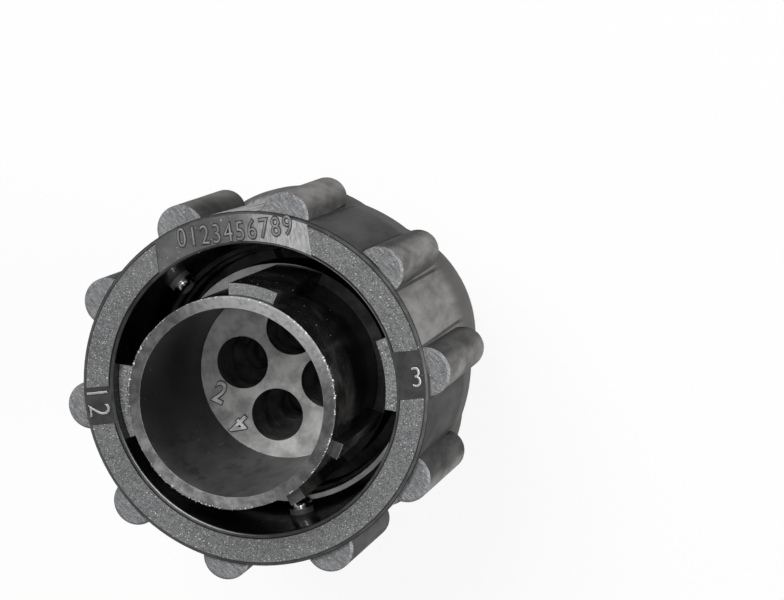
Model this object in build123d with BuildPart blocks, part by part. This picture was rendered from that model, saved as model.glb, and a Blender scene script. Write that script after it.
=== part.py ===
from build123d import *
import os
from math import cos, radians, sin, tan

# Circular plastic connector: the free plug half, with no contacts fitted.
# It stands on its cable end. The axis is Z and the mating end points up.
# Two mouldings make it. The plug body is one piece: barrel, insert with its
# contact cavities, keys, flange and the thread for a cable clamp. The coupling
# ring turns on the body, caught between the flange and three snap wedges.
# All sizes are in millimetres and all angles in degrees.

# Lengths along the axis, from the cable end up
THREAD_LENGTH = 8.6
RELIEF_LENGTH = 0.8
SHOULDER_LENGTH = 1.4
RING_LENGTH = 17.5
RIM_PROUD = 5.2
END_GAP = 0.3

# Barrel and the step at its foot
BARREL_RADIUS = 7.53
BARREL_WALL = 0.85
BARREL_DEPTH = 13.86
STEP_HEIGHT = 0.92
STEP_RISE = 0.8
EDGE_BREAK = 0.1

# Keys on the barrel: middle angle and width of each
KEY_HEIGHT = 0.82
KEY_SETBACK = 0.8
KEYS = ((90, 25), (-13, 8.5), (-46, 8.5))

# Flange with its collar and the groove for the mating shell
GROOVE_WIDTH = 0.9
COLLAR_LEDGE = 0.3
COLLAR_LAND = 0.4
LEDGE_DROP = 1.1
COLLAR_LENGTH = 5.2
FLANGE_THICKNESS = 2.0

# Insert and its four contact cavities
CONTACT_SPACING = 4.81
CONTACT_COUNT = 4
CAVITY_RADIUS = 2.02
CAVITY_DEPTH = 4.6
THROAT_RADIUS = 1.25
ENTRY_RADIUS = 1.65
ENTRY_DEPTH = 6.0
ENTRY_LEAD = 0.25

# Cable end: clamp thread, 24 turns to the inch, and the recess for the wires
THREAD_RADIUS = 7.9375
THREAD_PITCH = 25.4 / 24
THREAD_DEPTH = 0.58
THREAD_ROOT = 0.13
THREAD_ANGLE = 60
THREAD_LEAD = 0.5
RELIEF_DEPTH = 0.62
CUTTER_PROUD = 0.15
REAR_WALL = 1.5
RECESS_DEPTH = 6.0

# Journal that the ring turns on, and the wedges that keep it there
JOURNAL_DROP = 0.25
RUNNING_GAP = 0.15
SNAP_CATCH = 0.4
SNAP_LENGTH = 1.9
SNAP_WIDTH = 24
SNAP_COUNT = 3

# Coupling ring
RING_TURN = 17.85
COLLAR_GAP = 0.6
RING_WALL = 2.35
LIP_WIDTH = 0.27
LIP_DEPTH = 0.3
FACE_EDGE = 0.28
REAR_ROUND = 0.9
WEB_THICKNESS = 2.0
SKIRT_DEPTH = 1.5

# Grip lobes, narrower towards the cable end and leaning outwards
LOBE_COUNT = 10
LOBE_SETBACK = 0.64
LOBE_LENGTH = 12.6
LOBE_RADIUS = 1.78
LOBE_INSET = 0.25
LOBE_TAPER = 0.2
LOBE_LEAN = 0.55
LOBE_EDGE = 0.18
LOBE_ROUND = 0.75

# Rear bulges in every other gap between lobes
BULGE_COUNT = 5
BULGE_HEIGHT = 0.7
BULGE_RADIUS = 9.0
BULGE_RISE = 2.3
BULGE_ROUND = 0.3

# Lugs and pegs inside the ring, at angles from its first lobe
LUG_ANGLES = (0, 180)
LUG_WIDTH = 30
LUG_HEIGHT = 1.05
LUG_SETBACK = 1.35
LUG_LENGTH = 2.6
PEG_ANGLES = (21, 130, 272)
PEG_RADIUS = 0.9
PEG_HEIGHT = 1.3
PEG_SETBACK = 7.0
PEG_ROUND = 0.75

# Smooth sunken patches on the front face: angle and width of each
PATCHES = ((0, 3.45), (180, 2.8), (90, 11.5))
PATCH_DEPTH = 0.08

# Levels along the axis
journal_foot = THREAD_LENGTH + RELIEF_LENGTH
ring_rear = journal_foot + SHOULDER_LENGTH
ring_front = ring_rear + RING_LENGTH
rim_top = ring_front + RIM_PROUD
web_rear = ring_rear + SKIRT_DEPTH
web_front = web_rear + WEB_THICKNESS
flange_rear = web_front + END_GAP
groove_floor = flange_rear + FLANGE_THICKNESS
collar_top = flange_rear + COLLAR_LENGTH
step_top = collar_top + STEP_RISE
insert_face = rim_top - BARREL_DEPTH
key_top = rim_top - KEY_SETBACK
snap_top = web_rear - END_GAP
lobe_top = ring_front - LOBE_SETBACK
lobe_foot = lobe_top - LOBE_LENGTH

# Radii, each one worked out from the barrel outwards
step_radius = BARREL_RADIUS + STEP_HEIGHT
key_radius = BARREL_RADIUS + KEY_HEIGHT
journal_radius = step_radius - JOURNAL_DROP
web_bore = journal_radius + RUNNING_GAP
snap_radius = web_bore + SNAP_CATCH
groove_radius = step_radius + GROOVE_WIDTH
ledge_radius = groove_radius + COLLAR_LEDGE
collar_radius = ledge_radius + COLLAR_LAND
ring_bore = collar_radius + COLLAR_GAP
ring_radius = ring_bore + RING_WALL
relief_radius = THREAD_RADIUS - RELIEF_DEPTH
pitch_circle = CONTACT_SPACING / sin(radians(180 / CONTACT_COUNT)) / 2


def radial_plane(angle):
    """Upright plane through the axis: its X runs outwards and its Y runs up."""
    turn = radians(angle)
    outwards = (cos(turn), sin(turn), 0)
    sideways = (sin(turn), -cos(turn), 0)
    return Plane(origin=(0, 0, 0), x_dir=outwards, z_dir=sideways)


# The clamp thread's groove: a cutter that winds up from below the cable end
# and runs out in the relief
cutter_start = -THREAD_PITCH
cutter_rise = journal_foot - THREAD_PITCH / 2 - cutter_start
root_half = THREAD_ROOT / 2
mouth_half = root_half + (THREAD_DEPTH + CUTTER_PROUD) * tan(radians(THREAD_ANGLE / 2))
with BuildPart() as thread_groove:
    with BuildLine() as winding:
        Helix(pitch=THREAD_PITCH, height=cutter_rise, radius=THREAD_RADIUS, center=(0, 0, cutter_start))
    with BuildSketch(Plane(origin=winding.line @ 0, x_dir=(1, 0, 0), z_dir=winding.line % 0)):
        Polygon(
            (-THREAD_DEPTH, -root_half),
            (CUTTER_PROUD, -mouth_half),
            (CUTTER_PROUD, mouth_half),
            (-THREAD_DEPTH, root_half),
            align=None,
        )
    sweep(path=winding.line, is_frenet=True)


# The plug body
with BuildPart() as plug_body:
    # Outside shape from the thread up to the rim
    with BuildSketch(Plane.XZ):
        with BuildLine():
            Polyline(
                (0, 0),
                (THREAD_RADIUS - THREAD_LEAD, 0),
                (THREAD_RADIUS, THREAD_LEAD),
                (THREAD_RADIUS, THREAD_LENGTH),
                (relief_radius, THREAD_LENGTH),
                (relief_radius, journal_foot),
                (journal_radius, journal_foot),
                (journal_radius, flange_rear),
                (collar_radius, flange_rear),
                (collar_radius, collar_top),
                (ledge_radius, collar_top),
                (ledge_radius, collar_top - LEDGE_DROP),
                (groove_radius, collar_top - LEDGE_DROP),
                (groove_radius, groove_floor),
                (step_radius, groove_floor),
                (step_radius, step_top),
                (BARREL_RADIUS, step_top),
                (BARREL_RADIUS, rim_top - EDGE_BREAK),
                (BARREL_RADIUS - EDGE_BREAK, rim_top),
                (0, rim_top),
                close=True,
            )
        make_face()
    revolve(axis=Axis.Z)

    # Keys run down the barrel and end on the step
    for middle, width in KEYS:
        with BuildSketch(radial_plane(middle - width / 2)):
            with BuildLine():
                Polyline(
                    (BARREL_RADIUS - BARREL_WALL / 2, step_top - STEP_RISE / 2),
                    (key_radius, step_top - STEP_RISE / 2),
                    (key_radius, key_top),
                    (BARREL_RADIUS - BARREL_WALL / 2, key_top),
                    close=True,
                )
            make_face()
        revolve(axis=Axis.Z, revolution_arc=width)

    # Snap wedges slope up from the journal to a square catch under the ring's web
    for number in range(SNAP_COUNT):
        with BuildSketch(radial_plane(number * 360 / SNAP_COUNT)):
            with BuildLine():
                Polyline(
                    (journal_radius - SNAP_CATCH, snap_top - SNAP_LENGTH),
                    (journal_radius, snap_top - SNAP_LENGTH),
                    (snap_radius, snap_top),
                    (journal_radius - SNAP_CATCH, snap_top),
                    close=True,
                )
            make_face()
        revolve(axis=Axis.Z, revolution_arc=SNAP_WIDTH)

    # Barrel bore down to the insert face
    with BuildSketch(Plane.XY.offset(rim_top)):
        Circle(BARREL_RADIUS - BARREL_WALL)
    extrude(amount=-BARREL_DEPTH, mode=Mode.SUBTRACT)

    # Recess for the wires at the cable end
    with BuildSketch(Plane.XY):
        Circle(THREAD_RADIUS - REAR_WALL)
    extrude(amount=RECESS_DEPTH, mode=Mode.SUBTRACT)

    # Contact cavities: a wide front, a throat and an entry from the cable end
    with BuildSketch(Plane.XY):
        with PolarLocations(pitch_circle, CONTACT_COUNT):
            Circle(THROAT_RADIUS)
    extrude(amount=insert_face, mode=Mode.SUBTRACT)
    with BuildSketch(Plane.XY.offset(insert_face)):
        with PolarLocations(pitch_circle, CONTACT_COUNT):
            Circle(CAVITY_RADIUS)
    extrude(amount=-CAVITY_DEPTH, mode=Mode.SUBTRACT)
    with BuildSketch(Plane.XY.offset(RECESS_DEPTH)):
        with PolarLocations(pitch_circle, CONTACT_COUNT):
            Circle(ENTRY_RADIUS)
    extrude(amount=ENTRY_DEPTH, mode=Mode.SUBTRACT)
    entry_mouths = plug_body.edges().filter_by(GeomType.CIRCLE).filter_by(
        lambda edge: abs(edge.radius - ENTRY_RADIUS) < 0.001
        and abs(edge.center().Z - RECESS_DEPTH) < 0.001
    )
    chamfer(entry_mouths, length=ENTRY_LEAD)

    # Clamp thread
    add(thread_groove.part, mode=Mode.SUBTRACT)

plug_body.part.label = "plug_body"


# One grip lobe
with BuildPart() as grip_lobe:
    with BuildSketch(Plane.XY.offset(lobe_foot)):
        with Locations((ring_radius - LOBE_INSET + LOBE_LEAN, 0)):
            Circle(LOBE_RADIUS - LOBE_TAPER)
    with BuildSketch(Plane.XY.offset(lobe_top)):
        with Locations((ring_radius - LOBE_INSET, 0)):
            Circle(LOBE_RADIUS)
    loft()
    fillet(grip_lobe.edges().sort_by(Axis.Z)[0], radius=LOBE_ROUND)
    chamfer(grip_lobe.edges().sort_by(Axis.Z)[-1], length=LOBE_EDGE)


# One rear bulge: a swelling of the wall that starts where the lobes stop
bulge_centre = ring_radius - BULGE_RADIUS
with BuildPart() as rear_bulge:
    with BuildSketch(Plane.XY.offset(lobe_foot)):
        with Locations((bulge_centre, 0)):
            Circle(BULGE_RADIUS)
    with BuildSketch(Plane.XY.offset(lobe_foot - BULGE_RISE)):
        with Locations((bulge_centre + BULGE_HEIGHT, 0)):
            Circle(BULGE_RADIUS)
    loft()
    with BuildSketch(Plane.XY.offset(ring_rear)):
        with Locations((bulge_centre + BULGE_HEIGHT, 0)):
            Circle(BULGE_RADIUS)
    extrude(amount=lobe_foot - BULGE_RISE - ring_rear)
    fillet(rear_bulge.edges().sort_by(Axis.Z)[0], radius=BULGE_ROUND)
    with BuildSketch(Plane.XY.offset(ring_rear)):
        Circle(ring_radius - RING_WALL / 2)
    extrude(amount=RING_LENGTH, mode=Mode.SUBTRACT)


# One coupling peg: a round-ended pin that stands inwards from the ring's bore
with BuildPart() as coupling_peg:
    with BuildSketch(Plane.YZ.offset(ring_bore - PEG_HEIGHT)):
        with Locations((0, ring_front - PEG_SETBACK)):
            Circle(PEG_RADIUS)
    extrude(amount=PEG_HEIGHT + RING_WALL / 2)
    fillet(coupling_peg.edges().sort_by(Axis.X)[0], radius=PEG_ROUND)


# The coupling ring
with BuildPart() as coupling_ring:
    # Wall, front lip, inner web and rear skirt
    with BuildSketch(Plane.XZ):
        with BuildLine():
            Polyline(
                (ring_radius - REAR_ROUND, ring_rear),
                (ring_bore, ring_rear),
                (ring_bore, web_rear),
                (web_bore, web_rear),
                (web_bore, web_front),
                (ring_bore, web_front),
                (ring_bore, ring_front - LIP_DEPTH),
                (ring_bore + LIP_WIDTH, ring_front),
                (ring_radius - FACE_EDGE, ring_front),
                (ring_radius, ring_front - FACE_EDGE),
                (ring_radius, ring_rear + REAR_ROUND),
            )
            RadiusArc(
                (ring_radius, ring_rear + REAR_ROUND),
                (ring_radius - REAR_ROUND, ring_rear),
                REAR_ROUND,
            )
        make_face()
    revolve(axis=Axis.Z)

    # Grip lobes around the outside
    for number in range(LOBE_COUNT):
        add(grip_lobe.part, rotation=(0, 0, RING_TURN + number * 360 / LOBE_COUNT))

    # Rear bulges, midway between two lobes
    half_gap = 180 / LOBE_COUNT
    for number in range(BULGE_COUNT):
        add(rear_bulge.part, rotation=(0, 0, RING_TURN + half_gap + number * 360 / BULGE_COUNT))

    # Coupling lugs just inside the mouth
    lug_top = ring_front - LUG_SETBACK
    for angle in LUG_ANGLES:
        with BuildSketch(radial_plane(RING_TURN + angle - LUG_WIDTH / 2)):
            with BuildLine():
                Polyline(
                    (ring_bore - LUG_HEIGHT, lug_top - LUG_LENGTH),
                    (ring_bore + RING_WALL / 4, lug_top - LUG_LENGTH),
                    (ring_bore + RING_WALL / 4, lug_top),
                    (ring_bore - LUG_HEIGHT, lug_top),
                    close=True,
                )
            make_face()
        revolve(axis=Axis.Z, revolution_arc=LUG_WIDTH)

    # Coupling pegs deeper in the bore
    for angle in PEG_ANGLES:
        add(coupling_peg.part, rotation=(0, 0, RING_TURN + angle))

    # Smooth patches sunk into the front face
    for angle, width in PATCHES:
        with BuildSketch(Plane.XY.offset(ring_front).rotated((0, 0, RING_TURN + angle))):
            with Locations((ring_radius, 0)):
                Rectangle(ring_radius, width)
        extrude(amount=-PATCH_DEPTH, mode=Mode.SUBTRACT)

coupling_ring.part.label = "coupling_ring"


os.makedirs("parts", exist_ok=True)
for piece in (plug_body, coupling_ring):
    export_step(piece.part, f"parts/{piece.part.label}.step")
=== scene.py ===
# %% [markdown]
# # A circular plastic connector
#
# This notebook dresses one part: the free plug of a round power connector. It
# has two mouldings. The plug body carries a keyed barrel, an insert with four
# cavities, and a thread at its cable end. The coupling ring turns round the body.
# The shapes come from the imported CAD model. The lesson adds what the CAD left
# out: rounded edges, raised numbers, and the finish of every surface.

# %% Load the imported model
import random
from math import atan2, cos, degrees, hypot, radians, sin

import bmesh
import bpy
from mathutils import Matrix, Vector


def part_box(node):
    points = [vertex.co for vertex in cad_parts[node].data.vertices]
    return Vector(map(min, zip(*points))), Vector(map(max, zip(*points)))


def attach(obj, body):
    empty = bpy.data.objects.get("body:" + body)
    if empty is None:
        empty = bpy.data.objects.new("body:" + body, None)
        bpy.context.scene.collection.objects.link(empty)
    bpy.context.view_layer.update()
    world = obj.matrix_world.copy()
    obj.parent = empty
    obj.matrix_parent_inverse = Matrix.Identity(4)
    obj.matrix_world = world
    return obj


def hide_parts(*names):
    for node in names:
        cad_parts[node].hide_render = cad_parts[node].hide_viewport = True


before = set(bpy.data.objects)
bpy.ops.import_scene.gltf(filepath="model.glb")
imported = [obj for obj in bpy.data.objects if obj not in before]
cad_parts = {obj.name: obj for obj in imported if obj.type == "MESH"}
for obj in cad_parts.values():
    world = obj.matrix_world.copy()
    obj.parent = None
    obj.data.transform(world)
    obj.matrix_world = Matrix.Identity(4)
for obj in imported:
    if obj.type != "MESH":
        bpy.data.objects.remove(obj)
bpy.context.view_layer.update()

# %% [markdown]
# ## Main sizes
#
# The model is in metres and stands on its cable end, with +Z towards the mating
# end. Its surfaces are told apart by level and by radius, which read best in
# millimetres. The sizes that many cells need stand here, and each of the others
# stands where it is first used.

# %% Main sizes in millimetres and degrees
MM = 0.001
RIM_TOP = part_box("plug_body")[1].z / MM
RING_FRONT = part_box("coupling_ring")[1].z / MM
BARREL_RADIUS = 7.53
BARREL_BORE = 6.68
RING_RADIUS = 13.0
RING_BORE = 10.65
RING_TURN = 17.85
LOBES = 10
LOBE_STEP = 360 / LOBES
print(f"rim at {RIM_TOP:.2f} mm, ring's front face at {RING_FRONT:.2f} mm")

# %% [markdown]
# ## Effects that several plastics share
#
# Both mouldings are black nylon, so their finishes differ mostly in texture.
# Each texture is a node group with named inputs and outputs. A group is built
# once and placed in each material with its own values. Each group takes a place
# in millimetres, so that every scale below is a real size.

# %% Helpers that start a group and fill a socket
def new_group(name, inputs, outputs):
    """A shader node group with a place, float inputs with defaults, and float outputs."""
    group = bpy.data.node_groups.new(name, "ShaderNodeTree")
    group.interface.new_socket("Place", in_out="INPUT", socket_type="NodeSocketVector")
    for label, default in inputs.items():
        socket = group.interface.new_socket(label, in_out="INPUT", socket_type="NodeSocketFloat")
        socket.default_value = default
    for label in outputs:
        group.interface.new_socket(label, in_out="OUTPUT", socket_type="NodeSocketFloat")
    return group, group.nodes.new("NodeGroupInput"), group.nodes.new("NodeGroupOutput")


def feed(tree, socket, value):
    """Sets a socket to a number, or links it to another socket."""
    if isinstance(value, bpy.types.NodeSocket):
        tree.links.new(value, socket)
    else:
        socket.default_value = value


print("helpers:", [helper.__name__ for helper in (new_group, feed)])

# %% [markdown]
# ### Sums, ramps and noises
#
# A texture is a chain of nodes. Each kind of node gets a helper that adds one
# and returns its output. The chain could be clicked together in the editor, but
# with helpers it reads like a formula and is the same in each run.

# %% Helpers that add one node each
def calculate(tree, operation, *values):
    """A math node; returns its result."""
    node = tree.nodes.new("ShaderNodeMath")
    node.operation = operation
    for socket, value in zip(node.inputs, values):
        feed(tree, socket, value)
    return node.outputs[0]


def ramp(tree, value, low, high, to_low=0.0, to_high=1.0):
    """A value mapped from low-high to to_low-to_high, smooth at both ends."""
    node = tree.nodes.new("ShaderNodeMapRange")
    node.interpolation_type = "SMOOTHSTEP"
    for label, number in (
        ("Value", value),
        ("From Min", low),
        ("From Max", high),
        ("To Min", to_low),
        ("To Max", to_high),
    ):
        feed(tree, node.inputs[label], number)
    return node.outputs["Result"]


def noise(tree, place, scale, detail, roughness=0.5, distortion=0.0):
    """A noise texture's value; scale is in turns per millimetre."""
    node = tree.nodes.new("ShaderNodeTexNoise")
    feed(tree, node.inputs["Vector"], place)
    for label, number in (
        ("Scale", scale),
        ("Detail", detail),
        ("Roughness", roughness),
        ("Distortion", distortion),
    ):
        feed(tree, node.inputs[label], number)
    return node.outputs["Fac"]


def stretched(tree, place, factors):
    """The place scaled by a different factor along each axis."""
    node = tree.nodes.new("ShaderNodeVectorMath")
    node.operation = "MULTIPLY"
    feed(tree, node.inputs[0], place)
    node.inputs[1].default_value = factors
    return node.outputs[0]


def parts(tree, vector):
    """The X, Y and Z outputs of a vector."""
    node = tree.nodes.new("ShaderNodeSeparateXYZ")
    feed(tree, node.inputs[0], vector)
    return node.outputs


node_helpers = (calculate, ramp, noise, stretched, parts)
print("helpers:", [helper.__name__ for helper in node_helpers])

# %% [markdown]
# ### Spark-eroded texture
#
# The mould's front face was burnt by sparks, which leaves tiny craters. The
# plastic copies them as an even, matt speckle with a few pale grains. Two
# noises of different size give the tone, and a thresholded one gives grains.

# %% Group: spark-eroded texture
spark, entry, leave = new_group(
    "Spark-eroded texture",
    {"Grain per mm": 9.0, "Grains": 0.5},
    ("Tone", "Pale grains", "Height"),
)
place = entry.outputs["Place"]
per_mm = entry.outputs["Grain per mm"]
fine = noise(spark, place, per_mm, 2.0, 0.6)
coarse = noise(spark, place, calculate(spark, "MULTIPLY", per_mm, 0.25), 2.0, 0.6)
coarse_share = calculate(spark, "MULTIPLY", coarse, 0.25)
tone = calculate(spark, "MULTIPLY_ADD", fine, 0.75, coarse_share)
feed(spark, leave.inputs["Tone"], ramp(spark, tone, 0.34, 0.66))
flecks = noise(spark, place, calculate(spark, "MULTIPLY", per_mm, 0.9), 0.0, 0.5)
lowered = calculate(spark, "MULTIPLY", entry.outputs["Grains"], 0.12)
threshold = calculate(spark, "SUBTRACT", 0.8, lowered)
full = calculate(spark, "ADD", threshold, 0.06)
feed(spark, leave.inputs["Pale grains"], ramp(spark, flecks, threshold, full))
feed(spark, leave.inputs["Height"], fine)
print("group:", spark.name)

# %% [markdown]
# ### Moulded mottle
#
# Glass-filled nylon flows unevenly into its mould. It shows as soft cloudy
# patches that are a little lighter or duller. A painted picture would have to
# repeat on so many faces. A noise of a low scale doesn't, so it is used here.

# %% Group: moulded mottle
mottle, entry, leave = new_group(
    "Moulded mottle", {"Clouds per mm": 0.5, "Grain per mm": 5.0}, ("Clouds", "Height")
)
place = entry.outputs["Place"]
clouds = noise(mottle, place, entry.outputs["Clouds per mm"], 4.0, 0.6, 0.1)
feed(mottle, leave.inputs["Clouds"], ramp(mottle, clouds, 0.3, 0.7))
feed(mottle, leave.inputs["Height"], noise(mottle, place, entry.outputs["Grain per mm"], 3.0))
print("group:", mottle.name)

# %% [markdown]
# ### Tool marks
#
# The steel behind the lobes' faces and behind the wide patch was dressed by
# hand, and the plastic copied its fine parallel strokes. The place is turned
# round Z and squeezed along one direction, so that a noise draws long strokes.

# %% Group: tool marks
strokes, entry, leave = new_group(
    "Tool marks", {"Direction": 0.0, "Strokes per mm": 6.0}, ("Strokes",)
)
turned = strokes.nodes.new("ShaderNodeVectorRotate")
turned.rotation_type = "Z_AXIS"
feed(strokes, turned.inputs["Vector"], entry.outputs["Place"])
feed(strokes, turned.inputs["Angle"], calculate(strokes, "RADIANS", entry.outputs["Direction"]))
squeezed = stretched(strokes, turned.outputs["Vector"], (0.2, 1.0, 0.2))
streaks = noise(strokes, squeezed, entry.outputs["Strokes per mm"], 3.0, 0.7, 0.8)
feed(strokes, leave.inputs["Strokes"], ramp(strokes, streaks, 0.3, 0.7))
print("group:", strokes.name)

# %% [markdown]
# ### Dust
#
# Glossy black plastic shows every speck. Each cell of a Voronoi texture holds
# one speck near its middle, and a random value leaves most cells clean. Specks
# of mesh would show as well, but they would make the model heavy.

# %% Group: dust
dust, entry, leave = new_group("Dust specks", {"Specks per mm": 1.2, "Amount": 0.3}, ("Specks",))
cells = dust.nodes.new("ShaderNodeTexVoronoi")
feed(dust, cells.inputs["Vector"], entry.outputs["Place"])
feed(dust, cells.inputs["Scale"], entry.outputs["Specks per mm"])
pick = dust.nodes.new("ShaderNodeSeparateColor")
feed(dust, pick.inputs["Color"], cells.outputs["Color"])
chosen = calculate(dust, "LESS_THAN", pick.outputs["Red"], entry.outputs["Amount"])
size = calculate(dust, "MULTIPLY_ADD", pick.outputs["Green"], 0.08, 0.04)
core = calculate(dust, "MULTIPLY", size, 0.5)
near = ramp(dust, cells.outputs["Distance"], core, size, 1.0, 0.0)
feed(dust, leave.inputs["Specks"], calculate(dust, "MULTIPLY", near, chosen))
print("group:", dust.name)

# %% [markdown]
# ### Lines round the axis
#
# Where two surfaces meet, a thin line is painted along the edge: a pale line is
# a painted highlight, a dark line painted shade. All long edges here are circles
# round the axis, so the distance from a chosen radius finds them, and a noise
# makes the line ragged.

# %% Group: line round the axis
edge, entry, leave = new_group(
    "Line round the axis", {"Radius": 7.5, "Width": 0.1, "Raggedness": 0.5}, ("Line",)
)
place = entry.outputs["Place"]
flat = parts(edge, place)
across = calculate(edge, "MULTIPLY", flat["X"], flat["X"])
square = calculate(edge, "MULTIPLY_ADD", flat["Y"], flat["Y"], across)
offset = calculate(edge, "SUBTRACT", calculate(edge, "SQRT", square), entry.outputs["Radius"])
ragged = entry.outputs["Raggedness"]
steady = calculate(edge, "SUBTRACT", 1.0, ragged)
wander = calculate(edge, "MULTIPLY_ADD", noise(edge, place, 3.0, 3.0, 0.7), ragged, steady)
reach = calculate(edge, "MULTIPLY", entry.outputs["Width"], calculate(edge, "POWER", wander, 2.0))
away = calculate(edge, "ABSOLUTE", offset)
line = ramp(edge, away, calculate(edge, "MULTIPLY", reach, 0.4), reach, 1.0, 0.0)
feed(edge, leave.inputs["Line"], line)
print("group:", edge.name)

# %% [markdown]
# ### Sides of the ring
#
# The ten gaps between the lobes alternate between two tones, and painted light
# and sheen show on one side only of several faces. A mask made from the angle
# round the axis serves both. With a count of five it rises and falls five times a
# turn, and with a count of one it marks a single side.

# %% Group: sides of the ring
sides, entry, leave = new_group(
    "Sides of the ring", {"Middle": 0.0, "Count": 1.0, "From": 0.0, "To": 1.0}, ("Mask", "Wave")
)
flat = parts(sides, entry.outputs["Place"])
bearing = calculate(sides, "ARCTAN2", flat["Y"], flat["X"])
middle_angle = calculate(sides, "RADIANS", entry.outputs["Middle"])
turned_off = calculate(sides, "SUBTRACT", bearing, middle_angle)
wave = calculate(
    sides, "COSINE", calculate(sides, "MULTIPLY", turned_off, entry.outputs["Count"])
)
mask = ramp(sides, wave, entry.outputs["From"], entry.outputs["To"])
feed(sides, leave.inputs["Mask"], mask)
feed(sides, leave.inputs["Wave"], wave)
print("group:", sides.name)

# %% [markdown]
# ## The plastics
#
# Each visible surface gets a material of its own, because the real one differs
# in polish. One helper starts a material with a Principled shader and the place
# in millimetres, and another puts one of the groups above into it.

# %% Helpers that start a material
NYLON_IOR = 1.53


def new_plastic(name, roughness, shine):
    """A material with its Principled shader and the place in millimetres."""
    material = bpy.data.materials.new(name)
    material.use_nodes = True
    tree = material.node_tree
    shader = tree.nodes["Principled BSDF"]
    shader.inputs["Roughness"].default_value = roughness
    shader.inputs["Specular IOR Level"].default_value = shine
    shader.inputs["IOR"].default_value = NYLON_IOR
    coordinates = tree.nodes.new("ShaderNodeTexCoord")
    place = stretched(tree, coordinates.outputs["Object"], (1 / MM, 1 / MM, 1 / MM))
    return material, tree, shader, place


def use_group(tree, group, place, **values):
    """Places a group in a material; underscores in a name stand for spaces."""
    node = tree.nodes.new("ShaderNodeGroup")
    node.node_tree = group
    feed(tree, node.inputs["Place"], place)
    for label, value in values.items():
        feed(tree, node.inputs[label.replace("_", " ")], value)
    return node.outputs


print("helpers:", [helper.__name__ for helper in (new_plastic, use_group)])

# %% [markdown]
# ### Colours in layers
#
# Every finish is a stack: a plain tone, with wear, edge lines and dust over it.
# Each helper lays one layer over the colour below by a mask, so the layers can
# be tried and taken away one by one. The last helper feeds the shader the
# finished colour and a bump from the texture's height.

# %% Helpers that lay one layer over another
def grey(level, warmth=0.0):
    """A grey colour; warmth above zero leans to red, below zero to blue."""
    return (level * (1 + warmth), level, level * (1 - warmth))


def blend(tree, amount, first, second):
    """A colour between two, by a mask."""
    node = tree.nodes.new("ShaderNodeMix")
    node.data_type = "RGBA"
    feed(tree, node.inputs["Factor"], amount)
    for socket, colour in ((node.inputs["A"], first), (node.inputs["B"], second)):
        if isinstance(colour, bpy.types.NodeSocket):
            tree.links.new(colour, socket)
        else:
            socket.default_value = (*colour, 1.0)
    return node.outputs["Result"]


def cover(tree, body, mask, share, colour):
    """A colour laid over the body's own where a mask is white, up to a share."""
    return blend(tree, calculate(tree, "MULTIPLY", mask, share), body, colour)


def dusted(tree, place, body, specks_per_mm, amount, share, colour):
    """A colour with dust over it; the amount is the share of cells that hold a speck."""
    dirt = use_group(tree, dust, place, Specks_per_mm=specks_per_mm, Amount=amount)
    return cover(tree, body, dirt["Specks"], share, colour)


def edge_lines(tree, place, body, lines):
    """Draws lines round the axis; each has a radius, a width, a raggedness and a grey."""
    for radius, width, raggedness, level in lines:
        line = use_group(tree, edge, place, Radius=radius, Width=width, Raggedness=raggedness)
        body = blend(tree, line["Line"], body, grey(level))
    return body


def finish(tree, shader, body, height, strength, depth_mm):
    """Feeds the shader its colour, and its normal from a height."""
    feed(tree, shader.inputs["Base Color"], body)
    node = tree.nodes.new("ShaderNodeBump")
    node.inputs["Strength"].default_value = strength
    node.inputs["Distance"].default_value = depth_mm * MM
    feed(tree, node.inputs["Height"], height)
    feed(tree, shader.inputs["Normal"], node.outputs["Normal"])


layer_helpers = (grey, blend, cover, dusted, edge_lines, finish)
print("helpers:", [helper.__name__ for helper in layer_helpers])

# %% [markdown]
# ### Spark-eroded faces
#
# The ring's front face, its two lugs and the wide key are matt and speckled. A
# photograph of such a face would fix its light and its scale, so the speckle is
# worked out from noise. Two dark lines of painted shade mark where the ring's
# face ends.

# %% Spark-eroded faces
COOL = -0.02
LIP_WIDTH = 0.27
FACE_EDGE = 0.28
DARK_LINE = 0.006


def eroded_plastic(name, dark, light, pale, grains, grain_per_mm=9.0, lines=()):
    """Matt speckle between two greys, with pale grains and lines round the axis."""
    material, tree, shader, place = new_plastic(name, 0.6, 0.3)
    texture = use_group(tree, spark, place, Grain_per_mm=grain_per_mm, Grains=grains)
    clouds = use_group(tree, mottle, place, Clouds_per_mm=0.35, Grain_per_mm=4.0)
    body = blend(tree, texture["Tone"], grey(dark, COOL), grey(light, COOL))
    body = cover(tree, body, clouds["Clouds"], 0.2, grey(light))
    body = blend(tree, texture["Pale grains"], body, grey(pale))
    body = edge_lines(tree, place, body, lines)
    finish(tree, shader, body, texture["Height"], 0.25, 0.03)
    return material


# Both lines are painted shade along the edges of the ring's face.
face_lines = (
    (RING_RADIUS - FACE_EDGE, 0.13, 0.6, DARK_LINE),
    (RING_BORE + LIP_WIDTH, 0.1, 0.5, DARK_LINE),
)
ring_face = eroded_plastic("ring face", 0.045, 0.195, 0.6, 0.5, 12.0, face_lines)
lug_face = eroded_plastic("lug face", 0.06, 0.26, 0.6, 0.7)
key_face = eroded_plastic("key face", 0.1, 0.2, 0.4, 0.4)
print("eroded finishes:", [m.name for m in (ring_face, lug_face, key_face)])

# %% [markdown]
# ### Faces of the lobes
#
# The flat front end of each lobe shows tool marks under a weak speckle. The two
# textures are added before the greys are chosen, so neither hides the other.

# %% Faces with tool marks
STROKES_SHARE = 0.65


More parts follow.
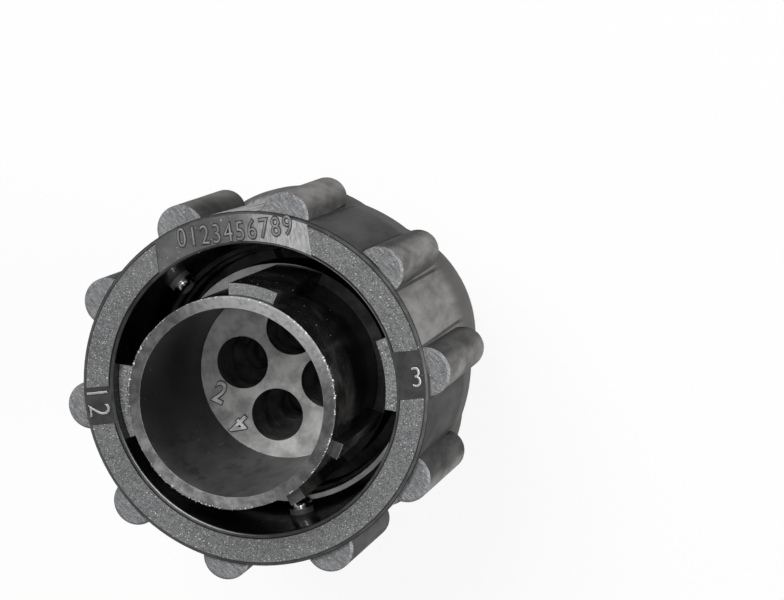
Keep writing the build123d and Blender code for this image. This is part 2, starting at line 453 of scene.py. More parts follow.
def stroked_plastic(name, dark, light, pale, direction, roughness, shine):
    """A face with fine parallel strokes and a few pale specks."""
    material, tree, shader, place = new_plastic(name, roughness, shine)
    marks = use_group(tree, strokes, place, Direction=direction, Strokes_per_mm=8.0)
    texture = use_group(tree, spark, place, Grain_per_mm=9.0, Grains=0.4)
    clouds = use_group(tree, mottle, place, Clouds_per_mm=0.5, Grain_per_mm=4.0)
    grain = calculate(tree, "MULTIPLY", texture["Tone"], 1 - STROKES_SHARE)
    tone = calculate(tree, "MULTIPLY_ADD", marks["Strokes"], STROKES_SHARE, grain)
    body = blend(tree, tone, grey(dark, COOL), grey(light, COOL))
    body = cover(tree, body, clouds["Clouds"], 0.3, grey(dark))
    body = cover(tree, body, texture["Pale grains"], 0.7, grey(pale))
    finish(tree, shader, body, marks["Strokes"], 0.3, 0.02)
    return material


lobe_face = stroked_plastic("lobe face", 0.05, 0.32, 0.65, 35.0, 0.55, 0.3)
print("face with tool marks:", lobe_face.name)

# %% [markdown]
# ### Satin surfaces
#
# The insert, the narrow patches, the cable end and the four cavities are plain
# satin. They share one recipe: clouds between two greys and some dust. The
# cavities get neither dust nor shine, so that nothing glints deep in a hole.

# %% Satin plastics
def satin_plastic(name, dark, light, roughness, clouds_per_mm=0.5, specks=0.1, shine=0.4):
    """A smooth moulded finish with soft clouds and a little dust."""
    warmth = 0.01
    material, tree, shader, place = new_plastic(name, roughness, shine)
    texture = use_group(tree, mottle, place, Clouds_per_mm=clouds_per_mm, Grain_per_mm=6.0)
    body = blend(tree, texture["Clouds"], grey(dark, warmth), grey(light, warmth))
    body = dusted(tree, place, body, 1.1, specks, 0.6, grey(0.35))
    rough = calculate(tree, "MULTIPLY_ADD", texture["Clouds"], 0.12, roughness - 0.06)
    feed(tree, shader.inputs["Roughness"], rough)
    finish(tree, shader, body, texture["Height"], 0.15, 0.02)
    return material


patch_floor = satin_plastic("patch floor", 0.02, 0.042, 0.45, 1.2, 0.3, 0.2)
# The insert face's light greys are a painted sheen on black plastic.
insert_face = satin_plastic("insert face", 0.26, 0.56, 0.42, 0.7, 0.4)
rear_plastic = satin_plastic("rear plastic", 0.02, 0.035, 0.35, shine=0.3)
cavity_wall = satin_plastic("cavity wall", 0.04, 0.14, 0.6, specks=0.0, shine=0.0)
cavity_step = satin_plastic("cavity step", 0.01, 0.05, 0.6, specks=0.0, shine=0.0)
print("satin finishes:", [m.name for m in (patch_floor, insert_face, rear_plastic)])
print("in the cavities:", [m.name for m in (cavity_wall, cavity_step)])

# %% [markdown]
# ### The barrel's bore
#
# The bore is polished black. Its lower side, where the light falls, is painted a
# cloudy grey as painted light. The clouds are drawn out along the axis, the way
# the mould's core was pulled out.

# %% The barrel's bore, with painted light on its lower side
PAINTED_LIGHT_SIDE = -60.0


def bore_plastic():
    """Polished black with painted light, a cloudy grey, on one side, a few smudges and dust."""
    material, tree, shader, place = new_plastic("barrel bore", 0.3, 0.06)
    drawn = stretched(tree, place, (1.0, 1.0, 0.4))
    texture = use_group(tree, mottle, drawn, Clouds_per_mm=0.5, Grain_per_mm=5.0)
    smudges = use_group(tree, mottle, drawn, Clouds_per_mm=1.1, Grain_per_mm=5.0)
    # Painted light: the side where the light falls is a cloudy grey.
    haze_and_painted_light = use_group(tree, sides, place, Middle=PAINTED_LIGHT_SIDE, Count=1.0, From=-0.35, To=0.9)
    painted_light_grey = blend(tree, texture["Clouds"], grey(0.05, 0.01), grey(0.1, 0.01))
    body = blend(tree, haze_and_painted_light["Mask"], grey(0.006), painted_light_grey)
    body = blend(tree, ramp(tree, smudges["Clouds"], 0.6, 0.9, 0.0, 0.5), body, grey(0.01))
    body = dusted(tree, place, body, 1.2, 0.45, 0.7, (0.42, 0.36, 0.3))
    finish(tree, shader, body, texture["Height"], 0.1, 0.02)
    return material


bore_wall = bore_plastic()
print("bore:", len(bore_wall.node_tree.nodes), "nodes")

# %% [markdown]
# ### Step and collar
#
# Two flat rings lie deep between the barrel and the coupling ring. Each one is
# black for most of its way and painted pale on one side as painted light. The
# mask by angle picks that side and fades out at both ends, where a cut in the
# mesh would leave a hard edge.

# %% Step and collar, with painted light on one side
STEP_LIT_SIDE = 125.0
COLLAR_LIT_SIDE = -50.0


def lit_side_plastic(name, middle, spread, pale):
    """Dark satin with painted light, pale and speckled, round one angle."""
    material, tree, shader, place = new_plastic(name, 0.5, 0.1)
    texture = use_group(tree, mottle, place, Clouds_per_mm=0.9, Grain_per_mm=6.0)
    grains = use_group(tree, spark, place, Grain_per_mm=6.0, Grains=0.8)
    ends = cos(radians(spread))
    near = use_group(tree, sides, place, Middle=middle, Count=1.0, From=ends, To=0.97)
    plain = blend(tree, texture["Clouds"], grey(0.008), grey(0.03))
    # Painted light: the pale, speckled colour of the lit side.
    painted_lit_side = blend(tree, texture["Clouds"], grey(pale * 0.75), grey(pale))
    painted_lit_side = blend(tree, grains["Pale grains"], painted_lit_side, grey(0.8))
    body = blend(tree, near["Mask"], plain, painted_lit_side)
    finish(tree, shader, body, texture["Height"], 0.2, 0.03)
    return material


step_face = lit_side_plastic("step face", STEP_LIT_SIDE, 48.0, 0.75)
collar_face = lit_side_plastic("collar face", COLLAR_LIT_SIDE, 55.0, 0.8)
print("finishes with painted light:", [m.name for m in (step_face, collar_face)])

# %% [markdown]
# ### The grip's wall
#
# Every other gap between the lobes is painted paler as painted light, and one
# carries a painted sheen in light streaks. The band behind the lobes and the
# creases beside them are darkened as painted shade. All of it follows the angle
# round the axis, so one material serves the whole wall and no seam shows. The
# angles are counted from the ring's first lobe.

# %% The grip's wall, with painted light in its paler gaps and painted shade at its rear
PALE_GAP = RING_TURN + LOBE_STEP / 2
SHEEN_GAP = PALE_GAP + 2 * LOBE_STEP
LOBE_FOOT = 15.06
REAR_FADE = 1.6
FINE_STREAKS = 0.08
CREASE_ANGLE = 8.3


def grip_wall_plastic():
    """Cloudy satin: painted light in every other gap, a painted sheen in one, painted shade behind
    and beside the lobes.
    """
    material, tree, shader, place = new_plastic("grip wall", 0.6, 0.05)
    drawn = stretched(tree, place, (1.0, 1.0, 0.3))
    texture = use_group(tree, mottle, drawn, Clouds_per_mm=0.6, Grain_per_mm=7.0)
    # Every other gap is painted paler as painted light.
    gap = use_group(tree, sides, place, Middle=PALE_GAP, Count=LOBES / 2, From=-0.1, To=0.1)
    lobe = use_group(tree, sides, place, Middle=RING_TURN, Count=LOBES)
    dark = blend(tree, texture["Clouds"], grey(0.016, 0.01), grey(0.038, 0.01))
    pale = blend(tree, texture["Clouds"], grey(0.08, 0.03), grey(0.16, 0.03))
    # Painted sheen: light streaks in one gap.
    painted_lit_side = use_group(tree, sides, place, Middle=SHEEN_GAP, Count=1.0, From=0.97, To=0.985)
    fine = stretched(tree, place, (1.0, 1.0, FINE_STREAKS))
    sheen_streaks = use_group(tree, mottle, fine, Clouds_per_mm=1.6, Grain_per_mm=7.0)
    pale = cover(tree, pale, painted_lit_side["Mask"], sheen_streaks["Clouds"], grey(0.42))
    body = blend(tree, gap["Mask"], dark, pale)
    level = parts(tree, place)["Z"]
    # Painted shade on the band behind the lobes.
    rear_shade = ramp(tree, level, LOBE_FOOT - REAR_FADE, LOBE_FOOT, 1.0, 0.0)
    body = cover(tree, body, rear_shade, 0.85, grey(0.055, 0.02))
    # Painted shade in the creases beside the lobes.
    crease_wave = cos(radians(LOBES * CREASE_ANGLE))
    from_crease = calculate(tree, "SUBTRACT", lobe["Wave"], crease_wave)
    crease_shade = ramp(tree, calculate(tree, "ABSOLUTE", from_crease), 0.05, 0.13, 1.0, 0.0)
    shade_beside_lobes = calculate(tree, "MULTIPLY", crease_shade, calculate(tree, "SUBTRACT", 1.0, rear_shade))
    body = cover(tree, body, shade_beside_lobes, 0.8, grey(0.01))
    body = dusted(tree, place, body, 1.6, 0.12, 0.5, grey(0.3))
    finish(tree, shader, body, texture["Height"], 0.2, 0.03)
    return material


grip_wall = grip_wall_plastic()
print("grip wall:", len(grip_wall.node_tree.nodes), "nodes")

# %% [markdown]
# ### Sides of the lobes
#
# Fingers turn the ring by its lobes. The crown of each lobe is painted a little
# paler than its foot, as a painted highlight. The mask by angle has ten crests,
# one on each lobe, so one material serves all ten.

# %% The lobes' sides, with a painted highlight along their crowns
CROWN_SHIFT = 1.5


def lobe_side_plastic():
    """Cloudy dark satin with a painted highlight, a paler streak, along the crown of each lobe."""
    material, tree, shader, place = new_plastic("lobe side", 0.6, 0.05)
    drawn = stretched(tree, place, (1.0, 1.0, 0.35))
    texture = use_group(tree, mottle, drawn, Clouds_per_mm=0.7, Grain_per_mm=6.0)
    crest = RING_TURN - CROWN_SHIFT
    # Painted highlight along the crown of each lobe.
    crown = use_group(tree, sides, place, Middle=crest, Count=LOBES, From=0.55, To=1.0)
    plain = blend(tree, texture["Clouds"], grey(0.014, 0.02), grey(0.05, 0.02))
    crown_highlight = blend(tree, texture["Clouds"], grey(0.06, 0.03), grey(0.15, 0.03))
    body = blend(tree, crown["Mask"], plain, crown_highlight)
    body = dusted(tree, place, body, 1.1, 0.1, 0.6, grey(0.35))
    finish(tree, shader, body, texture["Height"], 0.15, 0.02)
    return material


lobe_side = lobe_side_plastic()
print("lobe side:", len(lobe_side.node_tree.nodes), "nodes")

# %% [markdown]
# ### The wide patch
#
# The widest of the three sunken patches is smooth and dark at one end, and
# brushed at the other, where a painted sheen makes it pale. A wide, soft mask by
# angle runs from one to the other, so the change has no edge.

# %% The wide patch, brushed, with a painted sheen on its right
SHEEN_SIDE = RING_TURN + 62


def wide_patch_plastic():
    """Smooth dark plastic that turns brushed towards one end, with a painted sheen that makes it
    pale there.
    """
    material, tree, shader, place = new_plastic("wide patch", 0.35, 0.4)
    marks = use_group(tree, strokes, place, Direction=70.0, Strokes_per_mm=7.0)
    texture = use_group(tree, mottle, place, Clouds_per_mm=0.6, Grain_per_mm=6.0)
    # Painted sheen that makes the brushed end pale.
    sheen = use_group(tree, sides, place, Middle=SHEEN_SIDE, Count=1.0, From=0.88, To=0.995)
    grains = use_group(tree, spark, place, Grain_per_mm=9.0, Grains=0.1)
    plain = blend(tree, texture["Clouds"], grey(0.04), grey(0.09))
    brushed_sheen = blend(tree, marks["Strokes"], grey(0.2), grey(0.42))
    body = blend(tree, sheen["Mask"], plain, brushed_sheen)
    body = blend(tree, grains["Pale grains"], body, grey(0.35))
    finish(tree, shader, body, marks["Strokes"], 0.15, 0.02)
    return material


wide_patch = wide_patch_plastic()
print("wide patch:", len(wide_patch.node_tree.nodes), "nodes")

# %% [markdown]
# ### Glossy black surfaces
#
# The barrel's outside and the ring's inside are polished. Their colour is almost
# black, so what is seen is mostly reflected light and dust. A thin haze varies
# the roughness too, because an even polish looks like glass. Where the haze is
# thick, it is painted lighter and warmer as a painted reflection. The deep groove
# beside the barrel is the same black without the polish.

# %% Glossy black plastic
def glossy_plastic(name, level, roughness, specks, shine):
    """Polished black with a faint haze, a painted reflection in its thick clouds, and dust specks.
    """
    material, tree, shader, place = new_plastic(name, roughness, shine)
    haze_and_painted_light = use_group(tree, mottle, place, Clouds_per_mm=0.4, Grain_per_mm=3.0)
    thick = calculate(tree, "POWER", haze_and_painted_light["Clouds"], 3.0)
    # Painted reflection: thick haze clouds turn a lighter, warmer grey.
    body = blend(tree, thick, grey(level * 0.6), grey(level * 2.6, 0.06))
    body = dusted(tree, place, body, 1.4, specks, 0.8, grey(0.5))
    rough = calculate(tree, "MULTIPLY_ADD", haze_and_painted_light["Clouds"], 0.08, roughness - 0.04)
    feed(tree, shader.inputs["Roughness"], rough)
    finish(tree, shader, body, haze_and_painted_light["Height"], 0.05, 0.02)
    return material


barrel_outside = glossy_plastic("barrel outside", 0.009, 0.2, 0.55, 0.22)
ring_inside = glossy_plastic("ring inside", 0.004, 0.22, 0.12, 0.22)
groove_wall = glossy_plastic("groove wall", 0.003, 0.6, 0.1, 0.05)
print("glossy finishes:", [m.name for m in (barrel_outside, ring_inside, groove_wall)])

# %% [markdown]
# ### Pegs
#
# Three small pegs stand inside the coupling ring and slide along the mating
# half's ramps. Rubbing has polished a short band of each, and that band mirrors
# the bright room. The group of lines round the axis finds the band by its
# distance from the axis, and the roughness falls there. The rest of the peg is
# dull black.

# %% Pegs with a polished band
PEG_BAND = 9.9
PEG_BAND_HALF = 0.5
PEG_IOR = 2.0


def peg_plastic_with_band():
    """Dull black with a mirror-like band at one distance from the axis."""
    material, tree, shader, place = new_plastic("peg", 0.6, 1.0)
    shader.inputs["IOR"].default_value = PEG_IOR
    shader.inputs["Base Color"].default_value = (*grey(0.004), 1.0)
    band = use_group(tree, edge, place, Radius=PEG_BAND, Width=PEG_BAND_HALF, Raggedness=0.1)
    feed(tree, shader.inputs["Roughness"], ramp(tree, band["Line"], 0.0, 1.0, 0.8, 0.1))
    return material


peg_plastic = peg_plastic_with_band()
print("peg:", peg_plastic.name)

# %% [markdown]
# ### Narrow keys, lip and outer edge
#
# These are thin satin bands, and their edges are drawn by lines round the axis.
# The pale lines on the keys are painted highlights, and the dark lines on the lip
# and the outer edge are painted shade. The lip's inner edge also carries a thin
# pale line on two opposite sides, a painted highlight. A mask with a count of two
# picks those sides.

# %% Narrow keys, lip and outer edge
KEY_RADIUS = 8.35
HIGHLIGHT_SIDE = RING_TURN + 47
HIGHLIGHT_RADIUS = RING_BORE + 0.08


def edged_plastic(name, dark, light, roughness, shine, lines, with_highlight=False):
    """A satin band with painted edge lines, if need be with a painted highlight line on two sides.
    """
    material, tree, shader, place = new_plastic(name, roughness, shine)
    texture = use_group(tree, mottle, place, Clouds_per_mm=0.8, Grain_per_mm=6.0)
    body = blend(tree, texture["Clouds"], grey(dark), grey(light))
    body = edge_lines(tree, place, body, lines)
    body = dusted(tree, place, body, 1.4, 0.25, 0.6, grey(0.5))
    if with_highlight:
        # Painted highlight on two opposite sides of the lip's inner edge.
        painted_lit_side = use_group(tree, sides, place, Middle=HIGHLIGHT_SIDE, Count=2.0, From=0.1, To=0.95)
        line = use_group(tree, edge, place, Radius=HIGHLIGHT_RADIUS, Width=0.07, Raggedness=0.6)
        body = cover(tree, body, painted_lit_side["Mask"], line["Line"], grey(0.5))
    finish(tree, shader, body, texture["Height"], 0.2, 0.03)
    return material


# Pale lines at the key's edges: painted highlights.
key_lines = ((KEY_RADIUS, 0.22, 0.7, 0.11), (BARREL_RADIUS, 0.1, 0.5, 0.1))
# Dark lines at the lip's edges and the ring's outer edge: painted shade.
lip_lines = ((RING_BORE + LIP_WIDTH, 0.12, 0.4, DARK_LINE), (RING_BORE, 0.07, 0.4, DARK_LINE))
outer_lines = (
    (RING_RADIUS - FACE_EDGE, 0.13, 0.6, DARK_LINE),
    (RING_RADIUS, 0.16, 0.5, DARK_LINE),
)
narrow_key = edged_plastic("narrow key", 0.02, 0.06, 0.4, 0.2, key_lines)
lip_band = edged_plastic("lip band", 0.06, 0.11, 0.35, 0.3, lip_lines, with_highlight=True)
ring_edge = edged_plastic("ring edge", 0.03, 0.07, 0.5, 0.15, outer_lines)
print("edged finishes:", [m.name for m in (narrow_key, lip_band, ring_edge)])

# %% [markdown]
# ### The barrel's rim
#
# The rim takes every knock, so it is mottled and scuffed. It is palest on two
# opposite sides. Its outer edge is frayed into small bright flecks, and both its
# edges carry a thin pale line as a painted highlight. Masks by angle and by
# radius place all of this, because the rim is a circle round the axis.

# %% The barrel's rim, paler on two sides
PALE_RIM = 75.0
# Pale lines at both edges of the rim: painted highlights.
RIM_LINES = ((BARREL_BORE, 0.09, 0.8, 0.25), (BARREL_RADIUS, 0.12, 1.0, 0.2))


def rim_plastic():
    """Mottled grey, paler on two sides, with a frayed outer edge."""
    material, tree, shader, place = new_plastic("rim face", 0.45, 0.2)
    texture = use_group(tree, mottle, place, Clouds_per_mm=1.1, Grain_per_mm=6.0)
    blotches = use_group(tree, mottle, place, Clouds_per_mm=2.6, Grain_per_mm=6.0)
    pale = use_group(tree, sides, place, Middle=PALE_RIM, Count=2.0, From=-0.7, To=1.0)
    top = use_group(tree, sides, place, Middle=PALE_RIM, Count=1.0, From=0.5, To=1.0)
    dark_side = blend(tree, texture["Clouds"], grey(0.035), grey(0.1))
    pale_side = blend(tree, texture["Clouds"], grey(0.1), grey(0.27))
    body = blend(tree, pale["Mask"], dark_side, pale_side)
    body = cover(tree, body, top["Mask"], 0.6, grey(0.34))
    body = blend(tree, ramp(tree, blotches["Clouds"], 0.5, 1.0, 0.0, 0.35), body, grey(0.03))
    body = edge_lines(tree, place, body, RIM_LINES)
    frayed = use_group(tree, edge, place, Radius=BARREL_RADIUS, Width=0.34, Raggedness=0.8)
    flecks = use_group(tree, spark, place, Grain_per_mm=7.0, Grains=1.4)
    body = cover(tree, body, frayed["Line"], flecks["Pale grains"], grey(0.7))
    finish(tree, shader, body, blotches["Height"], 0.3, 0.04)
    return material


rim_face = rim_plastic()
print("rim:", len(rim_face.node_tree.nodes), "nodes")

# %% [markdown]
# ## Dressing a moulding
#
# The CAD mesh has the right shape but knife-sharp edges, and real mouldings
# never have those: a tiny radius on each edge catches the light and draws its
# outline. A copy of the mesh is cleaned, sorted into surfaces by place, and
# bevelled. The copy then stands for the CAD node. The thread keeps its sharp
# crests, because its edges are as narrow as the radius itself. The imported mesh
# stores its own normals, and they go, because they no longer fit the copy.

# %% Helpers that copy a node, sort its faces and round its edges
SHARP = radians(25)
FLAT = radians(0.05)
MERGE_DISTANCE = 0.002
THREAD_TOP = 9.39


def add_object(name, data):
    """A new object in the scene that shows the data."""
    thing = bpy.data.objects.new(name, data)
    bpy.context.scene.collection.objects.link(thing)
    return thing


def dressed_copy(node, name, sort_face):
    """A clean copy of a CAD node whose faces take the materials sort_face names."""
    mesh = bpy.data.meshes.new(name)
    work = bmesh.new()
    work.from_mesh(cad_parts[node].data)
    bmesh.ops.remove_doubles(work, verts=work.verts, dist=MERGE_DISTANCE * MM)
    bmesh.ops.dissolve_limit(work, angle_limit=FLAT, verts=work.verts, edges=work.edges)
    surfaces = []
    for face in work.faces:
        middle = face.calc_center_median() / MM
        material = sort_face(middle, face.normal, hypot(middle.x, middle.y))
        if material not in surfaces:
            surfaces.append(material)
        face.material_index = surfaces.index(material)
        face.smooth = True
    weight = work.edges.layers.float.new("bevel_weight_edge")
    for side in work.edges:
        height = min(v.co.z for v in side.verts) / MM
        sharp = len(side.link_faces) == 2 and side.calc_face_angle() > SHARP
        side[weight] = float(sharp and height > THREAD_TOP)
    work.to_mesh(mesh)
    work.free()
    packed_normals = mesh.attributes.get("custom_normal")
    if packed_normals is not None:
        mesh.attributes.remove(packed_normals)
    for material in surfaces:
        mesh.materials.append(material)
    mesh.set_sharp_from_angle(angle=SHARP)
    return add_object(name, mesh)


def round_edges(piece, width_mm):
    """Bevels every marked edge of a piece."""
    bevel = piece.modifiers.new("moulded edges", "BEVEL")
    bevel.width = width_mm * MM
    bevel.segments = 2
    bevel.limit_method = "WEIGHT"
    bevel.harden_normals = True


print("edges sharper than", round(degrees(SHARP)), "degrees are rounded")

# %% [markdown]
# ## The coupling ring
#
# Its front face and the lugs' faces are matt and speckled, and the lobes' faces
# show tool marks. The grip's sides are satin. The gaps between lobes alternate
# between a paler and a darker tone, and the paler tone is painted light. The two
# narrow patches are smooth, the wide one is brushed at its right end, and the
# bore is polished black. Level, radius and direction tell these faces apart,
# which still holds when the mesh is made anew.

# %% Sort the ring's surfaces
UPWARDS = 0.9
SLANTING = 0.3
HAIR = 0.01
LEVEL_SLACK = 0.06
PATCH_LEVEL = 28.22
PATCH_INSIDE = RING_BORE - 0.5
WIDE_PATCH = 90.0
WIDE_PATCH_HALF = 30.0
LUG_FRONT = 26.95
LOBE_FRONT = 27.66
LOBE_FRONT_HALF = 0.25
LOBE_HALF = 9.5
LOBE_SIDE_FOOT = LOBE_FOOT - 0.8
LIP_FOOT = RING_FRONT - 0.4
LIP_OUTSIDE = RING_BORE + 0.3
EDGE_FOOT = RING_FRONT - 0.35
PEG_LEVEL = 21.3
PEG_HALF = 1.0
WALL_INSIDE = RING_RADIUS - 1.2
REAR_BAND = 12.0


def at_level(middle, level, slack=LEVEL_SLACK):
    """Whether a place lies at a level along the axis."""
    return abs(middle.z - level) < slack


def from_lobe(middle):
    """Angle of a place from the ring's first lobe, from 0 to 360 degrees."""
    return (degrees(atan2(middle.y, middle.x)) - RING_TURN) % 360


def grip_surface(middle, radius):
    """The finish of one face of the grip: a lobe or the wall between the lobes."""
    off_lobe = abs((from_lobe(middle) + LOBE_STEP / 2) % LOBE_STEP - LOBE_STEP / 2)
    on_lobe = off_lobe < LOBE_HALF and radius > RING_RADIUS + 2 * HAIR
    return lobe_side if on_lobe and middle.z > LOBE_SIDE_FOOT else grip_wall


def ring_surface(middle, normal, radius):
    """The finish of one face of the coupling ring."""
    faces_up = normal.z > UPWARDS
    slants_up = normal.z > SLANTING
    if faces_up and at_level(middle, PATCH_LEVEL, 2 * HAIR) and radius > PATCH_INSIDE:
        on_wide_patch = abs(from_lobe(middle) - WIDE_PATCH) < WIDE_PATCH_HALF
        return wide_patch if on_wide_patch else patch_floor
    if faces_up and at_level(middle, RING_FRONT):
        return ring_face
    if slants_up and at_level(middle, LOBE_FRONT, LOBE_FRONT_HALF) and radius > RING_RADIUS - HAIR:
        return lobe_face
    if faces_up and at_level(middle, LUG_FRONT):
        return lug_face
    if slants_up and middle.z > LIP_FOOT and radius < LIP_OUTSIDE:
        return lip_band
    if slants_up and middle.z > EDGE_FOOT and radius < RING_RADIUS + HAIR:
        return ring_edge
    if radius < RING_BORE - 2 * HAIR and at_level(middle, PEG_LEVEL, PEG_HALF):
        return peg_plastic
    outwards = normal.x * middle.x + normal.y * middle.y > 0
    if radius > WALL_INSIDE and (outwards or middle.z < REAR_BAND):
        return grip_surface(middle, radius)
    return ring_inside


print(LOBES, "lobes, one every", LOBE_STEP, "degrees")

# %% [markdown]
# ### Dress the ring
#
# The copy stands for the CAD node, rides the ring's body and turns with it. Its
# edges are rounded by 0.06 mm. A modifier does it, so the width can be changed
# without making the copy anew.

# %% Dress the coupling ring
ring = dressed_copy("coupling_ring", "coupling_ring_dressed", ring_surface)
round_edges(ring, 0.06)
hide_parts("coupling_ring")
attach(ring, "ring")
print("ring:", len(ring.data.polygons), "faces,", len(ring.data.materials), "finishes")

# %% [markdown]
# ## The plug body
#
# The barrel is polished black outside and in. Its rim and the insert face at
# the bottom are duller and lighter; the insert face's grey is a painted sheen.
# The step at its foot and the collar carry painted light on one side. The wide
# key has the speckle of the ring's face, and the narrow keys are smooth. The
# faces are sorted as the ring's were, with a helper of its own for the inside of
# the barrel.

# %% Sort the plug body's surfaces
RIM_FOOT = RIM_TOP - 0.2
KEY_TOP = 32.7
WIDE_KEY_REACH = 3.0
STEP_TOP = 20.6
COLLAR_TOP = 19.8
GROOVE_FLOOR = COLLAR_TOP - 6.0
GROOVE_INSIDE = BARREL_RADIUS + 0.2
INSERT_FACE = 19.64
BORE_OUTSIDE = BARREL_BORE + 0.1
CAVITIES_OUTSIDE = BARREL_BORE - 0.3
RECESS_DEPTH = 6.0


def key_surface(middle):
    """The wide key stands in the middle of the +Y side; the others are narrow."""
    return key_face if abs(middle.x) < WIDE_KEY_REACH and middle.y > 0 else narrow_key


def inside_barrel(middle, normal, radius):
    """The finish of one face inside the barrel or the insert, or None elsewhere."""
    faces_up = normal.z > UPWARDS
    if faces_up and at_level(middle, INSERT_FACE) and radius < BARREL_BORE:
        return insert_face
    if middle.z > INSERT_FACE and radius < BORE_OUTSIDE:
        return bore_wall
    if radius < CAVITIES_OUTSIDE and RECESS_DEPTH < middle.z < INSERT_FACE:
        return cavity_step if faces_up else cavity_wall
    return None


def plug_surface(middle, normal, radius):
    """The finish of one face of the plug body."""
    faces_up = normal.z > UPWARDS
    if middle.z > RIM_FOOT and normal.z > SLANTING:
        return rim_face
    if faces_up and at_level(middle, KEY_TOP):
        return key_surface(middle)
    if faces_up and at_level(middle, STEP_TOP):
        return step_face
    if faces_up and at_level(middle, COLLAR_TOP):
        return collar_face
    inside = inside_barrel(middle, normal, radius)
    if inside is not None:
        return inside
    if middle.z <= GROOVE_FLOOR:
        return rear_plastic
    in_groove = middle.z < COLLAR_TOP and radius > GROOVE_INSIDE
    return groove_wall if in_groove else barrel_outside


print("insert face", round(RIM_TOP - INSERT_FACE, 2), "mm below the rim")

# %% [markdown]
# ### Dress the plug body
#
# This copy stands for its CAD node in the same way. The barrel's wall is thinner
# than the ring's, so its edges are rounded a little less.

# %% Dress the plug body
plug = dressed_copy("plug_body", "plug_body_dressed", plug_surface)
round_edges(plug, 0.05)
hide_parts("plug_body")
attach(plug, "plug")
print("plug:", len(plug.data.polygons), "faces,", len(plug.data.materials), "finishes")

# %% [markdown]
# ## Flash on the rim
#
# A little plastic has crept out between the mould's halves along part of the
# barrel's rim. It is a ragged skin, thinner than paper. It's made as a narrow
# ribbon round the rim whose outer edge wanders by up to a sixth of a
# millimetre, with the same seed for each run. A texture could colour the rim
# but not fray its outline.

# %% Ragged skin along the rim's edge
FLASH_SPANS = ((150, 205), (228, 292), (10, 40))
FLASH_STEP = 0.5
FLASH_REACH = 0.16
FLASH_FOOT = 0.12
FLASH_SINK = 0.03
FLASH_SEED = 4


def round_the_axis(angle, radius, level):
    """A point in metres from an angle in radians, a radius and a level."""
    return Vector((radius * cos(angle), radius * sin(angle), level)) * MM


def flash_strip(name):
    """A ragged ribbon at the rim's outer edge, in a few spans round the axis."""
    draw = random.Random(FLASH_SEED)
    work = bmesh.new()
    for first, last in FLASH_SPANS:
        rows = []
        count = int((last - first) / FLASH_STEP)
        for number in range(count + 1):
            angle = radians(first + (last - first) * number / count)
            fade = sin(radians(180) * number / count) ** 0.5
            reach = FLASH_REACH * fade * draw.random() ** 1.5
            outer = RIM_TOP - FLASH_SINK - reach * draw.random()
            corners = (
                (BARREL_RADIUS - FLASH_FOOT, RIM_TOP - HAIR / 2),
                (BARREL_RADIUS + reach, outer),
                (BARREL_RADIUS - HAIR, RIM_TOP - FLASH_FOOT),
            )
            rows.append([work.verts.new(round_the_axis(angle, *corner)) for corner in corners])
        for near, far in zip(rows, rows[1:]):
            for one, other in ((0, 1), (1, 2), (2, 0)):
                work.faces.new((near[one], near[other], far[other], far[one]))
        work.faces.new(rows[0])
        work.faces.new(reversed(rows[-1]))
    bmesh.ops.recalc_face_normals(work, faces=work.faces)
    mesh = bpy.data.meshes.new(name)
    work.to_mesh(mesh)
    work.free()
    mesh.materials.append(rim_face)
    return add_object(name, mesh)


flash = flash_strip("rim_flash")
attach(flash, "plug")
print("rim flash:", len(flash.data.polygons), "faces")

# %% [markdown]
# ## Raised numbers
#
# Each cavity in the insert has its number beside it, so that a wire goes to the
# right place. The ring's patches carry plain numbers too. Moulded numbers are
# low ridges with steep sides, ringed by a dark outline of painted shade. A
# ridge's flanks and its top catch the light differently, so the normal's Z picks
# between two greys.

# %% Finishes of the ridges
def ridge_plastic(name, top, flank):
    """A moulded ridge whose steep flanks differ from its top."""
    material, tree, shader, place = new_plastic(name, 0.35, 0.3)
    texture = use_group(tree, mottle, place, Clouds_per_mm=1.5, Grain_per_mm=8.0)
    shape = tree.nodes.new("ShaderNodeNewGeometry")
    flatness = ramp(tree, parts(tree, shape.outputs["Normal"])["Z"], 0.75, 0.97)
    crown = blend(tree, texture["Clouds"], grey(top * 0.7), grey(top * 1.3))
    body = blend(tree, flatness, grey(flank), crown)
    finish(tree, shader, body, texture["Height"], 0.1, 0.02)
    return material


insert_ridge = ridge_plastic("insert ridge", 0.75, 0.5)
side_ridge = ridge_plastic("side ridge", 0.3, 0.65)
row_ridge = ridge_plastic("row ridge", 0.17, 0.1)
# A near-black finish for the outline of painted shade round each ridge.
painted_shade_outline = ridge_plastic("number painted shade", 0.012, 0.005)
ridge_finishes = (insert_ridge, side_ridge, row_ridge, painted_shade_outline)
print("finishes of the numbers:", [m.name for m in ridge_finishes])

# %% [markdown]
# ### From text to ridge
#
# A text curve with a small thickness and a rounded edge gives a ridge. It could
# stay a curve, but only meshes can be joined, so it becomes one.

# %% Helper that turns text into a mesh
def number_mesh(text, size, growth, half, edge_round, spacing):
    """Mesh of one line of text in millimetres, grown or thinned, lying flat."""
    curve = bpy.data.curves.new("number", "FONT")
    curve.body = text
    curve.size = size
    curve.space_character = spacing
    curve.align_x = "CENTER"
    curve.align_y = "CENTER"
    curve.extrude = half
    curve.bevel_depth = edge_round
    curve.bevel_resolution = 2
    curve.offset = growth - edge_round
    curve.resolution_u = 6
    shape = add_object("number", curve)
    bpy.context.view_layer.update()
    mesh = bpy.data.meshes.new_from_object(shape)
    bpy.data.objects.remove(shape)
    return mesh


print("helper:", number_mesh.__name__)

# %% [markdown]
# ### Numbers in their places
#
# Each ridge gets a thinner, wider copy in a near-black finish, which lies under
# it and draws an outline of painted shade round it. Both are squeezed, turned and
# moved to a radius and an angle on their face. The numbers of one moulding are
# then joined into one piece, because they always move together.

